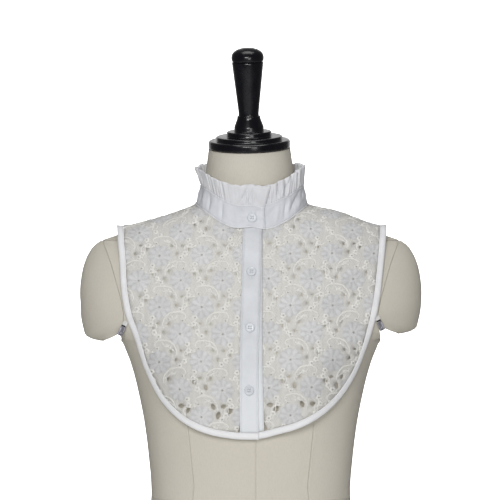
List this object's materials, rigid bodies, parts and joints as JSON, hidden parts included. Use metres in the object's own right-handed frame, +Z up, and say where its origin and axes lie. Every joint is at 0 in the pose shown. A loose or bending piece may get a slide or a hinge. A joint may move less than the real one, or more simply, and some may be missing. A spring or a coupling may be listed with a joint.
{
  "type": "false collar on dress form",
  "caption": "Lace bib false collar with a gathered stand and button placket, worn on a canvas dress form with a turned neck cap.",
  "frame": {"origin": "middle of the dress form's base, on the table", "axes": "+Z up, -Y the wearer's front, +X the wearer's left"},
  "size_m": [0.4266, 0.2391, 0.7765],
  "materials": {
    "canvas": "unbleached canvas, plain weave",
    "lacquer": "black satin lacquer on turned wood",
    "board": "black painted board",
    "latch": "pressed steel catch with a white tab",
    "lace": "corded cotton lace on fine net",
    "cotton": "white cotton poplin",
    "button": "white four-hole shirt button"
  },
  "bodies": {
    "root": {"torso": "canvas", "shoulder_cap_right": "canvas", "shoulder_cap_left": "canvas", "neck_cap": "lacquer", "base_board": "board", "latch_right": "latch", "latch_left": "latch", "lace_front_right": "lace", "lace_front_left": "lace", "lace_back": "lace", "binding_front_right": "cotton", "binding_front_left": "cotton", "binding_back": "cotton", "placket_top": "cotton", "placket_under": "cotton", "collar_band": "cotton", "ruffle": "cotton", "button_1": "button", "button_2": "button", "button_3": "button", "button_4": "button"}
  },
  "joints": []
}
